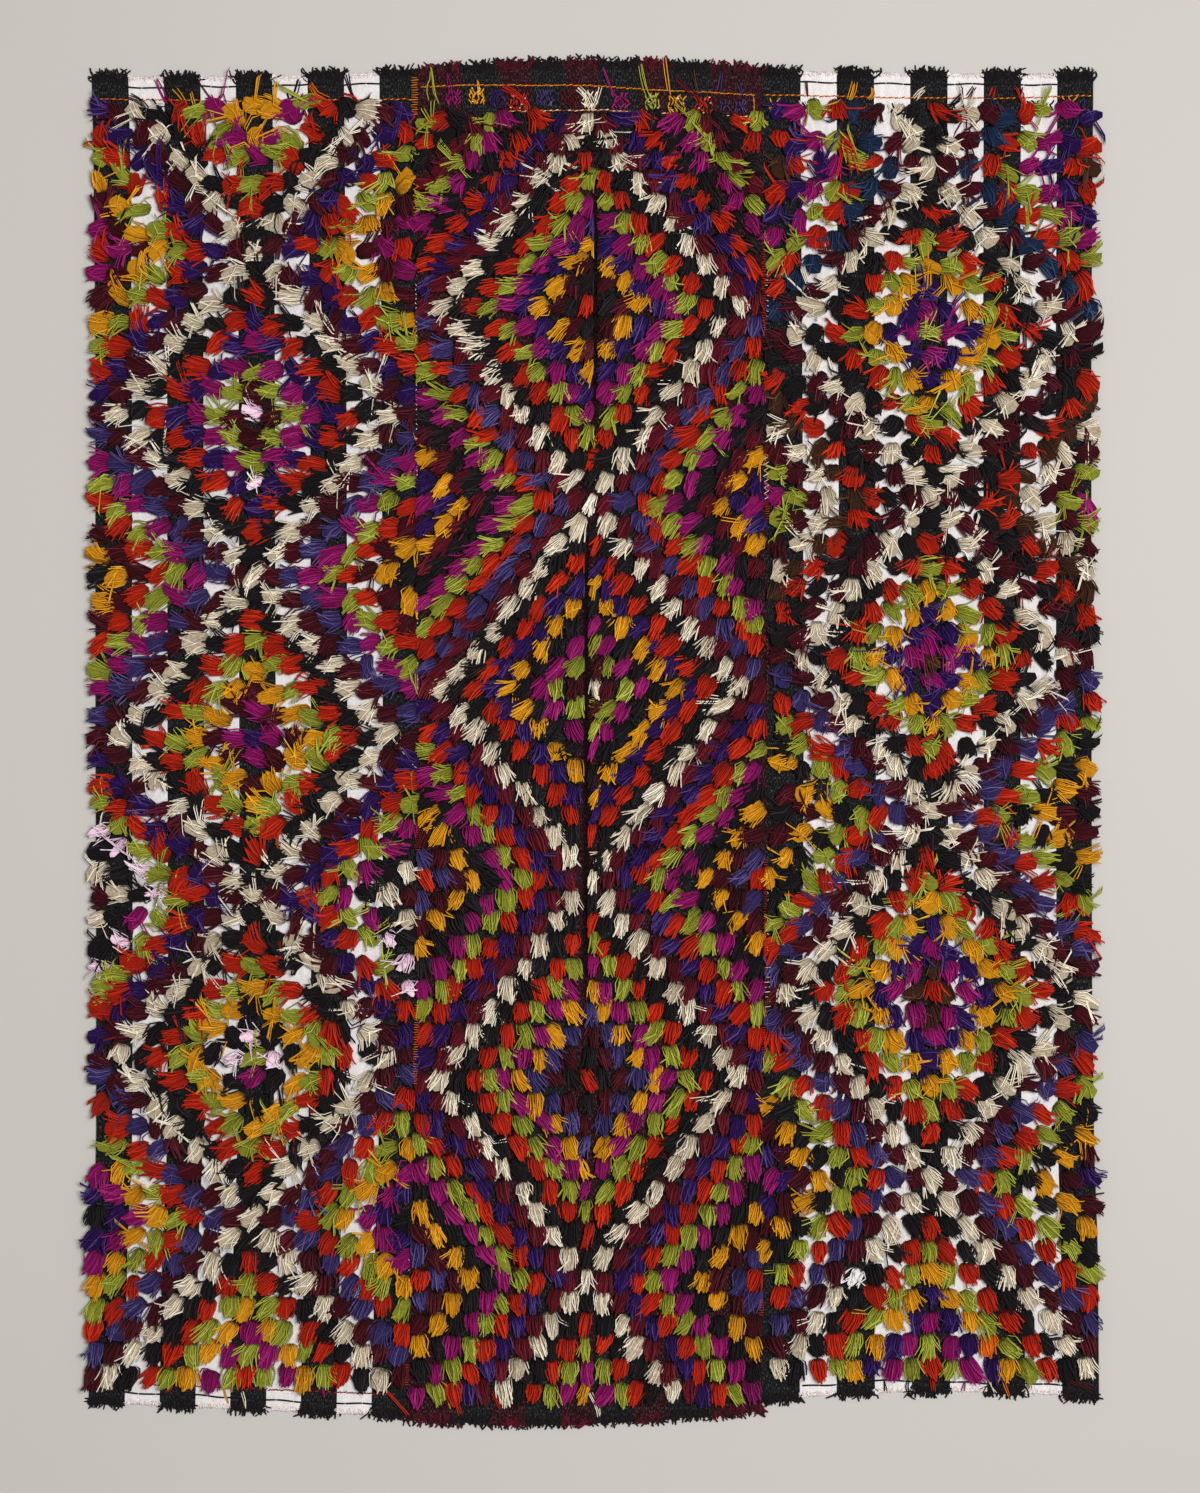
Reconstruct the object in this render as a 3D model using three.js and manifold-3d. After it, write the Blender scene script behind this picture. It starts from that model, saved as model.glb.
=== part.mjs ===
// A tulu rug lying flat: three loom-width strips of long tufted pile, sewn side by side.
// Millimetres. +X is the rug's right edge, +Y its top edge, +Z is up, and it lies on z = 0.
// Each strip is one solid: the woven ground with its flat headings and cut warp ends, the lumpy
// slab of lying pile on it, and the locks of yarn that hang past the slab's rim.

import * as THREE from 'three';
import { mergeVertices } from 'three/addons/utils/BufferGeometryUtils.js';
import Module from 'manifold-3d';

// Driving dimensions
const topLine = 951; // the highest point of the top edge
const bottomLine = -951; // the lowest point of the bottom edge
const clothThickness = 3; // the woven ground, wool on wool
const pileTop = 20; // mean height of the lying pile above the floor
const tuftStep = 2.2; // every other tuft lies this much higher or lower
const tuftUneven = 3.6; // and each one differs by up to this much
const rimDrop = 7; // how much lower the pile is along a strip's edges
const lowestPile = 8;
const rowPitch = 30; // from one row of knots to the next, along the rug
const knotDrift = 5; // how far a tuft's crown strays from its knot
const seamGap = 0.3; // between neighbouring strips
const seamInset = 1.2; // the pile's slab stands this far inside the ground's edge
const pileFoot = 1; // the slab's underside, inside the ground's thickness
const creaseX = -8; // the lengthwise crease in the centre strip
const creaseHalfWidth = 12;
const creaseDrop = 9;
const warpBands = 9; // bands of warp across a strip, dark at both edges
const bandSteps = 4; // points along each band's cut end
const bandNotch = 0.06; // share of a band left as the notch beside its neighbour
const cutFray = 1.8; // how unevenly the warps are cut
const rimLock = { width: 24, height: 11, root: 12, rootRise: 4 };
const endLock = { width: 17, height: 9, root: 12, sink: 0.5 };

// The two long rims and the two seams, and how far the locks hang past the rims, from the top
// line (station 0) to the bottom line (station 1).
const lengthwise = [
  { station: 0, leftRim: -703, leftSeam: -252.5, rightSeam: 232.5, rightRim: 693, leftLock: 6, rightLock: 6 },
  { station: 0.06, leftRim: -700, leftSeam: -252, rightSeam: 233, rightRim: 692, leftLock: 7, rightLock: 7 },
  { station: 0.2, leftRim: -697, leftSeam: -250, rightSeam: 235.5, rightRim: 690, leftLock: 9, rightLock: 9 },
  { station: 0.45, leftRim: -697, leftSeam: -248, rightSeam: 238.5, rightRim: 690, leftLock: 9, rightLock: 9 },
  { station: 0.68, leftRim: -696, leftSeam: -248, rightSeam: 236, rightRim: 691, leftLock: 9, rightLock: 9 },
  { station: 0.8, leftRim: -696, leftSeam: -255, rightSeam: 232, rightRim: 694, leftLock: 8, rightLock: 9 },
  { station: 0.87, leftRim: -703, leftSeam: -259, rightSeam: 229, rightRim: 699, leftLock: 5, rightLock: 7 },
  { station: 1, leftRim: -707, leftSeam: -265, rightSeam: 231, rightRim: 701, leftLock: 5, rightLock: 7 },
];

// Each strip: its tuft columns, which of its edges is a rim of the rug, where its pile starts and
// stops, how its two ends run from left to right, and how much shorter the pale warps are cut.
const strips = [
  {
    node: 'left_panel',
    color: 0x3a2226,
    columns: 17,
    rim: 'left',
    pileFrom: 889,
    pileTo: -902,
    top: { left: 931, middle: 930, right: 938 },
    bottom: { left: -922, middle: -932, right: -941 },
    paleCut: 4,
  },
  {
    node: 'centre_panel',
    color: 0x31121b,
    columns: 20,
    rim: 'none',
    pileFrom: 884,
    pileTo: -928,
    top: { left: 938, middle: 950, right: 939 },
    bottom: { left: -945, middle: -951, right: -931 },
    paleCut: 2,
  },
  {
    node: 'right_panel',
    color: 0x3b2328,
    columns: 17,
    rim: 'right',
    pileFrom: 889,
    pileTo: -894,
    top: { left: 938, middle: 934, right: 933 },
    bottom: { left: -920, middle: -907, right: -916 },
    paleCut: 4,
  },
];

// A repeatable uneven number between -1 and 1 for any pair of numbers.
function uneven(a, b) {
  const wave = Math.sin(a * 12.9898 + b * 78.233) * 43758.5453;
  return 2 * (wave - Math.floor(wave)) - 1;
}

function blend(a, b, share) {
  return a + (b - a) * share;
}

// A value from the lengthwise table at a distance y along the rug.
function lengthwiseAt(name, y) {
  const station = THREE.MathUtils.clamp((topLine - y) / (topLine - bottomLine), 0, 1);
  const next = Math.max(1, lengthwise.findIndex((row) => row.station >= station));
  const [before, after] = [lengthwise[next - 1], lengthwise[next]];
  return blend(before[name], after[name], (station - before.station) / (after.station - before.station));
}

// The left and right edges of one strip's ground at y.
function stripEdges(strip, y) {
  const half = seamGap / 2;
  if (strip.rim === 'left') return [lengthwiseAt('leftRim', y), lengthwiseAt('leftSeam', y) - half];
  if (strip.rim === 'right') return [lengthwiseAt('rightSeam', y) + half, lengthwiseAt('rightRim', y)];
  return [lengthwiseAt('leftSeam', y) + half, lengthwiseAt('rightSeam', y) - half];
}

// A smooth bow through three places along an end.
function bow({ left, middle, right }, share) {
  return blend(left, right, share) + (middle - (left + right) / 2) * 4 * share * (1 - share);
}

// One cut end of the ground, from the left edge to the right: inward is -1 at the top, 1 at the
// bottom.
function cutEnd(strip, end, inward) {
  const points = [];
  for (let band = 0; band < warpBands; band++) {
    for (let step = 0; step <= bandSteps; step++) {
      const atLeftEdge = band === 0 && step === 0;
      const atRightEdge = band === warpBands - 1 && step === bandSteps;
      const inBand = bandNotch + ((1 - 2 * bandNotch) * step) / bandSteps;
      const share = atLeftEdge ? 0 : atRightEdge ? 1 : (band + inBand) / warpBands;
      const fray = atLeftEdge || atRightEdge ? 0 : cutFray * (1 + uneven(band * bandSteps + step, end.middle));
      const y = bow(end, share) + inward * (fray + (band % 2 ? strip.paleCut : 0));
      const [left, right] = stripEdges(strip, y);
      points.push(new THREE.Vector2(blend(left, right, share), y));
    }
  }
  return points;
}

// The ground: one flat sheet, clockwise from its top left corner.
function groundSheet(strip) {
  const sidePoints = (side) =>
    lengthwise.slice(1, -1).map((row) => {
      const y = blend(topLine, bottomLine, row.station);
      return new THREE.Vector2(stripEdges(strip, y)[side], y);
    });
  const outline = [
    ...cutEnd(strip, strip.top, -1),
    ...sidePoints(1),
    ...cutEnd(strip, strip.bottom, 1).reverse(),
    ...sidePoints(0).reverse(),
  ];
  return new THREE.ExtrudeGeometry(new THREE.Shape(outline), { depth: clothThickness, bevelEnabled: false });
}

// Height of the lying pile at corner i, j of a slab of n by m tufts.
function pileHeight(strip, i, j, n, m, x) {
  const onRim = i === 0 || i === n || j === 0 || j === m;
  const inCrease = strip.rim === 'none' && Math.abs(x - creaseX) < creaseHalfWidth;
  const drop = Math.max(onRim ? rimDrop : 0, inCrease ? creaseDrop : 0);
  const step = (i + j) % 2 ? tuftStep : -tuftStep;
  const differs = uneven(i + strip.columns, j * 1.7) * tuftUneven;
  return Math.max(lowestPile, pileTop - drop + (step + differs) * (drop ? 0.5 : 1));
}

// The pile: a slab on a flat foot, with one lump for each tuft.
function pileSlab(strip) {
  const n = strip.columns;
  const m = Math.round((strip.pileFrom - strip.pileTo) / rowPitch);
  const positions = [];
  const index = [];
  const at = (i, j, layer) => (layer * (m + 1) + j) * (n + 1) + i;
  for (const layer of [0, 1])
    for (let j = 0; j <= m; j++) {
      const y = blend(strip.pileFrom, strip.pileTo, j / m);
      const [left, right] = stripEdges(strip, y);
      for (let i = 0; i <= n; i++) {
        const x = blend(left + seamInset, right - seamInset, i / n);
        const drifts = layer === 1 && i > 0 && i < n && j > 0 && j < m ? knotDrift : 0;
        const z = layer ? pileHeight(strip, i, j, n, m, x) : pileFoot;
        positions.push(x + drifts * uneven(i, j), y + drifts * uneven(j, i), z);
      }
    }
  // The lumpy top, each square split towards its higher corners.
  for (let j = 0; j < m; j++)
    for (let i = 0; i < n; i++) {
      const [a, b, c, d] = [at(i, j, 1), at(i + 1, j, 1), at(i + 1, j + 1, 1), at(i, j + 1, 1)];
      if ((i + j) % 2) index.push(a, c, b, a, d, c);
      else index.push(a, d, b, b, d, c);
    }
  // The foot, which only needs the corners along its rim.
  for (let j = 0; j < m; j++) {
    const [a, b, c, d] = [at(0, j, 0), at(n, j, 0), at(n, j + 1, 0), at(0, j + 1, 0)];
    if (j === 0) {
      for (let i = 0; i < n; i++) index.push(at(i, 0, 0), at(i + 1, 0, 0), d);
      index.push(b, c, d);
    } else if (j === m - 1) {
      for (let i = 0; i < n; i++) index.push(at(i + 1, m, 0), at(i, m, 0), a);
      index.push(a, b, c);
    } else index.push(a, b, c, a, c, d);
  }
  const wall = (from, to) => {
    const [a, b, c, d] = [at(...from, 0), at(...to, 0), at(...to, 1), at(...from, 1)];
    index.push(a, b, c, a, c, d);
  };
  for (let i = 0; i < n; i++) {
    wall([i + 1, 0], [i, 0]);
    wall([i, m], [i + 1, m]);
  }
  for (let j = 0; j < m; j++) {
    wall([0, j], [0, j + 1]);
    wall([n, j + 1], [n, j]);
  }
  const slab = new THREE.BufferGeometry();
  slab.setAttribute('position', new THREE.Float32BufferAttribute(positions, 3));
  slab.setIndex(index);
  return slab;
}

// One lock of yarn: a three-sided wedge with a flat underside, from its root inside the slab to a
// narrow tip that rests level on what lies under it.
function lock({ root, tip, floor, width, height }) {
  const along = new THREE.Vector2().subVectors(tip, root);
  const across = new THREE.Vector2(-along.y, along.x).normalize();
  const sections = [
    { share: 0, width: 1, height: 1 },
    { share: 0.72, width: 0.86, height: 0.72 },
    { share: 1, width: 0.4, height: 0.3 },
  ];
  const positions = [];
  for (const section of sections) {
    const middle = root.clone().addScaledVector(along, section.share);
    for (const side of [-0.5, 0.5]) {
      const foot = middle.clone().addScaledVector(across, side * width * section.width);
      positions.push(foot.x, foot.y, floor);
    }
    positions.push(middle.x, middle.y, floor + height * section.height);
  }
  const index = [0, 2, 1, 6, 7, 8];
  for (let ring = 0; ring < sections.length - 1; ring++)
    for (let side = 0; side < 3; side++) {
      const [a, b] = [ring * 3 + side, ring * 3 + ((side + 1) % 3)];
      index.push(a, b, b + 3, a, b + 3, a + 3);
    }
  const wedge = new THREE.BufferGeometry();
  wedge.setAttribute('position', new THREE.Float32BufferAttribute(positions, 3));
  wedge.setIndex(index);
  return wedge;
}

// Locks along the rug's own rim, one for each row of tufts, lying on the floor.
function rimLocks(strip) {
  if (strip.rim === 'none') return [];
  const side = strip.rim === 'left' ? 0 : 1;
  const outward = side ? 1 : -1;
  const rows = Math.round((strip.pileFrom - strip.pileTo) / rowPitch);
  return Array.from({ length: rows }, (_, row) => {
    const y = blend(strip.pileFrom, strip.pileTo, (row + 0.5) / rows);
    const rim = stripEdges(strip, y)[side];
    const reach = lengthwiseAt(side ? 'rightLock' : 'leftLock', y) * (1 + 0.6 * uneven(row, 11 + side));
    const sag = rimLock.width * (0.4 + 0.2 * uneven(row, 23 + side));
    return lock({
      root: new THREE.Vector2(rim - outward * rimLock.root, y + rimLock.rootRise),
      tip: new THREE.Vector2(rim + outward * reach, y - sag),
      floor: 0,
      width: rimLock.width,
      height: rimLock.height,
    });
  });
}

// Locks of the lowest row of tufts, one for each column, lying on the flat bottom heading.
function endLocks(strip) {
  const [left, right] = stripEdges(strip, strip.pileTo);
  const margin = endLock.width / 4;
  return Array.from({ length: strip.columns }, (_, column) => {
    const x = blend(left + margin, right - margin, (column + 0.5) / strip.columns);
    const reach = endLock.width * (0.5 + 0.2 * uneven(column, 31 + strip.columns));
    return lock({
      root: new THREE.Vector2(x, strip.pileTo + endLock.root),
      tip: new THREE.Vector2(x + 2 * uneven(column, 5), strip.pileTo - reach),
      floor: clothThickness - endLock.sink,
      width: endLock.width,
      height: endLock.height,
    });
  });
}

const wasm = await Module();
wasm.setup();

// A closed geometry as a solid that can be joined to others.
function solid(geometry) {
  const bare = geometry.clone();
  bare.deleteAttribute('normal');
  bare.deleteAttribute('uv');
  const merged = mergeVertices(bare, 1e-4);
  const vertProperties = merged.getAttribute('position').array;
  const triVerts = new Uint32Array(merged.index.array);
  return new wasm.Manifold(new wasm.Mesh({ numProp: 3, vertProperties, triVerts }));
}

function geometryOf(joined) {
  const { vertProperties, triVerts } = joined.getMesh();
  const geometry = new THREE.BufferGeometry();
  geometry.setAttribute('position', new THREE.Float32BufferAttribute(vertProperties, 3));
  geometry.setIndex(Array.from(triVerts));
  geometry.computeVertexNormals();
  return geometry;
}

function panel(strip) {
  const pile = [pileSlab(strip), ...rimLocks(strip), ...endLocks(strip)];
  const joined = pile.reduce((sum, piece) => sum.add(solid(piece)), solid(groundSheet(strip)));
  const material = new THREE.MeshStandardMaterial({ color: strip.color, roughness: 0.95, metalness: 0 });
  const mesh = new THREE.Mesh(geometryOf(joined), material);
  mesh.name = strip.node;
  return mesh;
}

const rug = new THREE.Group();
for (const strip of strips) rug.add(panel(strip));

// The origin is on the floor, under the middle of the rug.
const middle = new THREE.Box3().setFromObject(rug).getCenter(new THREE.Vector3());
rug.position.set(-middle.x, -middle.y, 0);

export default rug;
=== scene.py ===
import math

import bpy
import numpy as np
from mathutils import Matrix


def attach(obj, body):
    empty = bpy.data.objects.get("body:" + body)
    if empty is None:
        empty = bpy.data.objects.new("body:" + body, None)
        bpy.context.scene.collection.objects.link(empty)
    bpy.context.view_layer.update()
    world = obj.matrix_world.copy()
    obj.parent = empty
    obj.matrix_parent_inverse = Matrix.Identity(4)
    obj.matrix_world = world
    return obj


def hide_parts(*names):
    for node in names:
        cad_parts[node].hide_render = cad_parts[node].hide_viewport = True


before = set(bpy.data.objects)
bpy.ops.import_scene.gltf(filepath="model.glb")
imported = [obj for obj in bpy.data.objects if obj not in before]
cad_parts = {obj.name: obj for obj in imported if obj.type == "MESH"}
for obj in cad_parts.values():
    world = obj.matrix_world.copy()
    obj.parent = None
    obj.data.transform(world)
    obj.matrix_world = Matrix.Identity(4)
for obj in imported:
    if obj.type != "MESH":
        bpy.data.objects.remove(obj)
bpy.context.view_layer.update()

# A tulu rug seen from straight above. Sizes in the tables are millimetres in the frame of the solids:
# x runs across the rug, y up towards its top edge, z up from the floor.
mm = 0.001

# Camera, floor and light
view = {
    "middle": (7.1, -5.4),      # where the camera looks, beside the rug's own middle
    "height": 2075.3,           # how much of the floor the tall side of the picture takes in
    "lens": 85,
    "focusHeight": 12,          # the height above the floor where that size is measured
    "farthest": 60000,          # nothing beyond this is drawn
}
room = {
    "floorColour": "BEBAB4",
    "floorRoughness": 0.8,
    "floorSize": 12000,
    "floorDrop": 0.2,           # just clear of the cloth's underside
    "skyColour": (1.0, 0.99, 0.975),
    "skyStrength": 0.34,
    "lampPlace": (1250, 450, 5150),
    "lampSize": 1900,
    "lampPower": 277,
}
gloss = 0.1  # wool, cloth and floor hardly shine


# A colour code as the linear light that a shader takes.
def linear(code):
    channels = [int(code[i:i + 2], 16) / 255 for i in (0, 2, 4)]
    return tuple(c / 12.92 if c <= 0.04045 else ((c + 0.055) / 1.055) ** 2.4 for c in channels)


def newMaterial(name, colour, roughness):
    material = bpy.data.materials.new(name)
    material.use_nodes = True
    shader = material.node_tree.nodes["Principled BSDF"]
    shader.inputs["Base Color"].default_value = (*colour, 1)
    shader.inputs["Roughness"].default_value = roughness
    shader.inputs["Specular IOR Level"].default_value = gloss
    return material, material.node_tree, shader


def addObject(name, data):
    thing = bpy.data.objects.new(name, data)
    bpy.context.collection.objects.link(thing)
    return thing


def makeCamera():
    camera = addObject("camera", bpy.data.cameras.new("camera"))
    camera.data.lens = view["lens"]
    away = view["height"] * view["lens"] / camera.data.sensor_width
    camera.location = (view["middle"][0] * mm, view["middle"][1] * mm, (away + view["focusHeight"]) * mm)
    camera.data.clip_end = view["farthest"] * mm
    bpy.context.scene.camera = camera


def makeRoom():
    half = room["floorSize"] / 2 * mm
    corners = [(-half, -half, 0), (half, -half, 0), (half, half, 0), (-half, half, 0)]
    mesh = bpy.data.meshes.new("floor")
    mesh.from_pydata(corners, [], [(0, 1, 2, 3)])
    floor = addObject("floor", mesh)
    floor.location.z = -room["floorDrop"] * mm
    mesh.materials.append(newMaterial("floor", linear(room["floorColour"]), room["floorRoughness"])[0])

    lamp = addObject("lamp", bpy.data.lights.new("lamp", "AREA"))
    lamp.location = [c * mm for c in room["lampPlace"]]
    lamp.rotation_euler = (-lamp.location).to_track_quat("-Z", "Y").to_euler()
    lamp.data.size = room["lampSize"] * mm
    lamp.data.energy = room["lampPower"]

    world = bpy.data.worlds.new("sky")
    world.use_nodes = True
    sky = world.node_tree.nodes["Background"]
    sky.inputs["Color"].default_value = (*room["skyColour"], 1)
    sky.inputs["Strength"].default_value = room["skyStrength"]
    bpy.context.scene.world = world
    bpy.context.scene.view_settings.view_transform = "Standard"


makeCamera()
makeRoom()
print("camera, floor and light are set")


# One shader node, and the output of it that is wanted. An input is a number or another node's output.
def addNode(tree, kind, output, inputs=(), **settings):
    node = tree.nodes.new("ShaderNode" + kind)
    for key, value in settings.items():
        setattr(node, key, value)
    for key, value in dict(inputs).items():
        if isinstance(value, bpy.types.NodeSocket):
            tree.links.new(value, node.inputs[key])
        else:
            node.inputs[key].default_value = value
    return node.outputs[output]


def addMath(tree, operation, *values):
    return addNode(tree, "Math", 0, enumerate(values), operation=operation)


def addNoise(tree, noise, **inputs):
    scale, detail = noise
    return addNode(tree, "TexNoise", "Fac", {"Scale": scale, "Detail": detail, **inputs})


def addBump(tree, depth, **inputs):
    strength, distance = depth
    return addNode(tree, "Bump", "Normal", {"Strength": strength, "Distance": distance * mm, **inputs})


def addRange(tree, value, before, after):
    ends = {"From Min": before[0], "From Max": before[1], "To Min": after[0], "To Max": after[1]}
    return addNode(tree, "MapRange", "Result", {"Value": value, **ends})


def addMix(tree, factor, first, second, blend="MIX"):
    inputs = {"Factor": factor, "A": first, "B": second}
    return addNode(tree, "Mix", "Result", inputs, data_type="RGBA", blend_type=blend)


def addRamp(tree, value, stops, interpolation="LINEAR"):
    colour = addNode(tree, "ValToRGB", "Color", {"Fac": value})
    ramp = colour.node.color_ramp
    ramp.interpolation = interpolation
    while len(ramp.elements) < len(stops):
        ramp.elements.new(0.5)
    for element, (place, shade) in zip(ramp.elements, stops):
        element.position = place
        element.color = (*shade, 1)
    return colour


# The dyed wools, one row each.
# colours: root, body and light strand
# colours: root (a dark colour that paints shade at the roots and under the top yarns), body and light strand
# fan, curl, wave: how far a tuft opens, how far its locks curl and how crooked its yarns are
# frayed, looped: how soon its tips taper, and the share of tufts left uncut
# deep: how light it is under its top yarns, a low tone that paints the shade there
# long: its tufts' length beside that of the others
woolColumns = ("colours", "yarns", "yarn", "fan", "curl", "wave", "frayed", "looped", "deep", "long")
woolRows = {
    "red": ("681004 BE240A DC4018", 13, 2.3, 0.08, 0.6, 0.8, 0.35, 0.05, 0.15, 1),
    "orange": ("943C04 E66E0C F49226", 13, 2.2, 0.1, 0.9, 0.9, 0.28, 0.0, 0.2, 1),
    "yellow": ("7A4A08 E29E16 F8BC3C", 13, 2.1, 0.15, 1.2, 1.1, 0.28, 0.15, 0.22, 1),
    "green": ("40420E A4A836 CED468", 13, 2.0, 0.12, 1.2, 1.2, 0.28, 0.3, 0.2, 1),
    "magenta": ("4C0532 980C66 BA3A8C", 13, 2.3, 0.08, 0.7, 0.8, 0.35, 0.0, 0.15, 1),
    "purple": ("140628 34115E 665496", 13, 2.2, 0.12, 1.2, 1.1, 0.42, 0.1, 0.12, 1),
    "lavender": ("1A1238 473A72 786CA6", 13, 2.1, 0.15, 1.1, 1.2, 0.49, 0.1, 0.12, 1),
    "navy": ("0C1426 223556 486084", 13, 2.1, 0.15, 1.1, 1.2, 0.49, 0.0, 0.12, 1),
    "maroon": ("1A0207 460814 742632", 12, 2.5, 0.08, 0.8, 0.9, 0.42, 0.0, 0.25, 1),
    "crimson": ("26040A 600A1C 8A2C36", 12, 2.5, 0.08, 0.7, 0.8, 0.35, 0.0, 0.25, 1),
    "brown": ("1C0E08 432617 7A5238", 12, 2.3, 0.15, 1.0, 1.2, 0.49, 0.0, 0.25, 1),
    "black": ("090708 171215 332E32", 12, 2.5, 0.1, 1.0, 0.9, 0.49, 0.0, 0.35, 1),
    "cream": ("7C6A52 F4E8D0 FFFCF2", 14, 1.9, 0.15, 1.2, 1.1, 0.24, 0.1, 0.12, 1),
    "pink": ("C284AA F6DCEA FFFCFE", 12, 2.0, 0.1, 1.6, 2.4, 0.14, 0.9, 0.35, 0.82),
    "white": ("A8A49C F4F2EE FFFFFF", 12, 2.0, 0.1, 1.6, 2.4, 0.14, 0.9, 0.35, 0.82),
}
wools = {dye: dict(zip(woolColumns, row)) for dye, row in woolRows.items()}
woolFinish = {
    "roughness": 0.92,
    "sheen": 0.04,              # the fuzz that catches light along a yarn's edge
    "sheenRoughness": 0.45,
    "mottle": 0.16,             # how much lighter and darker patches differ
    "mottleNoise": (260, 2),    # scale and detail
    "bodyAt": 0.55,             # the tone that has the body's colour
    "plyTurns": 330,            # turns of the two plies in a metre of yarn
    "plyRound": 0.25,           # how far a turn of the ply shifts from one side of a yarn to the other
    "plyDepth": (0.35, 0.4),    # strength and height of the bumps
    "fuzzNoise": (1900, 2),
    "fuzzDepth": (0.5, 0.3),
}


# A wool's colour runs from its dark root colour, which paints shade at the roots and under the top yarns,
# through the body to the light strand, by the tone kept on every point of the yarn.
def woolMaterial(dye):
    finish = woolFinish
    root, body, strand = [linear(code) for code in wools[dye]["colours"].split()]
    material, tree, shader = newMaterial(f"{dye}Wool", body, finish["roughness"])
    shader.inputs["Sheen Weight"].default_value = finish["sheen"]
    shader.inputs["Sheen Roughness"].default_value = finish["sheenRoughness"]

    place = addNode(tree, "TexCoord", "Object")
    mottle = addNoise(tree, finish["mottleNoise"], Vector=place)
    shift = addMath(tree, "MULTIPLY_ADD", mottle, 2 * finish["mottle"], -finish["mottle"])
    tone = addMath(tree, "ADD", addNode(tree, "Attribute", "Fac", attribute_name="tone"), shift)
    # Low tones take the dark root colour: painted shade at the roots and under the top yarns.
    colour = addRamp(tree, tone, [(0.0, root), (finish["bodyAt"], body), (1.0, strand)])
    tree.links.new(colour, shader.inputs["Base Color"])

    ply = addNode(tree, "Attribute", "Vector", attribute_name="ply")
    twist = addNode(tree, "TexWave", "Fac", {"Scale": 1, "Vector": ply}, bands_direction="DIAGONAL")
    plies = addBump(tree, finish["plyDepth"], Height=twist)
    fuzz = addNoise(tree, finish["fuzzNoise"], Vector=place)
    bump = addBump(tree, finish["fuzzDepth"], Height=fuzz, Normal=plies)
    tree.links.new(bump, shader.inputs["Normal"])
    return material


woolMaterials = {dye: woolMaterial(dye) for dye in wools}
print("the wools are dyed")


# A mesh piece from arrays of points in millimetres and of triangles, riding on the rug.
def addPiece(name, points, triangles, material, panel, smooth=True, **perPoint):
    mesh = bpy.data.meshes.new(name)
    mesh.vertices.add(len(points))
    mesh.vertices.foreach_set("co", (np.asarray(points) * mm).astype(np.float32).ravel())
    mesh.loops.add(3 * len(triangles))
    mesh.loops.foreach_set("vertex_index", np.asarray(triangles, np.int32).ravel())
    mesh.polygons.add(len(triangles))
    mesh.polygons.foreach_set("loop_start", np.arange(0, 3 * len(triangles), 3, dtype=np.int32))
    mesh.polygons.foreach_set("use_smooth", np.full(len(triangles), smooth))
    mesh.update(calc_edges=True)
    for key, values in perPoint.items():
        values = np.asarray(values, np.float32)
        if values.ndim == 1:
            mesh.attributes.new(key, "FLOAT", "POINT").data.foreach_set("value", values)
        else:
            mesh.attributes.new(key, "FLOAT_VECTOR", "POINT").data.foreach_set("vector", values.ravel())
    mesh.materials.append(material)
    piece = addObject(name, mesh)
    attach(piece, "root")
    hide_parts(panel)
    return piece


# Three-sided yarns along many lines at once. lines is yarns by stations by xyz, and the first and last
# stations of each are its two ends, which are points. widths holds a radius and tones a tone for every
# station.
def yarnTubes(lines, widths, tones):
    yarns, stations = lines.shape[:2]
    tiny = 1e-9  # so that nothing is divided by nought
    ahead = np.gradient(lines, axis=1)
    ahead /= np.linalg.norm(ahead, axis=2, keepdims=True) + tiny
    across = np.stack([-ahead[..., 1], ahead[..., 0], np.zeros((yarns, stations))], axis=2)
    across /= np.linalg.norm(across, axis=2, keepdims=True) + tiny
    above = np.cross(ahead, across)
    turns = np.radians([90, 210, 330])
    inner = slice(1, stations - 1)
    rings = stations - 2
    round1 = np.cos(turns)[None, None, :, None] * across[:, inner, None, :]
    round2 = np.sin(turns)[None, None, :, None] * above[:, inner, None, :]
    skin = lines[:, inner, None, :] + widths[:, inner, None, None] * (round1 + round2)
    points = np.concatenate([lines[:, :1], skin.reshape(yarns, rings * 3, 3), lines[:, -1:]], axis=1)

    one = []
    for ring in range(rings):
        for side in range(3):
            a = 1 + ring * 3 + side
            b = 1 + ring * 3 + (side + 1) % 3
            if ring == 0:
                one.append((0, b, a))
            if ring == rings - 1:
                one.append((a, b, rings * 3 + 1))
            else:
                one += [(a, b, b + 3), (a, b + 3, a + 3)]
    perYarn = rings * 3 + 2
    triangles = np.array(one)[None] + perYarn * np.arange(yarns)[:, None, None]

    steps = np.linalg.norm(np.diff(lines, axis=1), axis=2)
    along = np.concatenate([np.zeros((yarns, 1)), np.cumsum(steps, axis=1)], axis=1)
    ply = np.zeros((yarns, perYarn, 3))
    ply[:, 1:-1, 0] = np.tile(np.cos(turns), rings) * woolFinish["plyRound"]
    ply[:, 1:-1, 1] = np.tile(np.sin(turns), rings) * woolFinish["plyRound"]
    ply[:, 1:-1, 2] = np.repeat(along[:, inner], 3, axis=1)
    ply[:, -1, 2] = along[:, -1]
    ply[..., 2] *= mm * woolFinish["plyTurns"] / math.pi
    tone = np.concatenate([tones[:, :1], np.repeat(tones[:, inner], 3, axis=1), tones[:, -1:]], axis=1)
    return points.reshape(-1, 3), triangles.reshape(-1, 3), tone.ravel(), ply.reshape(-1, 3)


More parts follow.
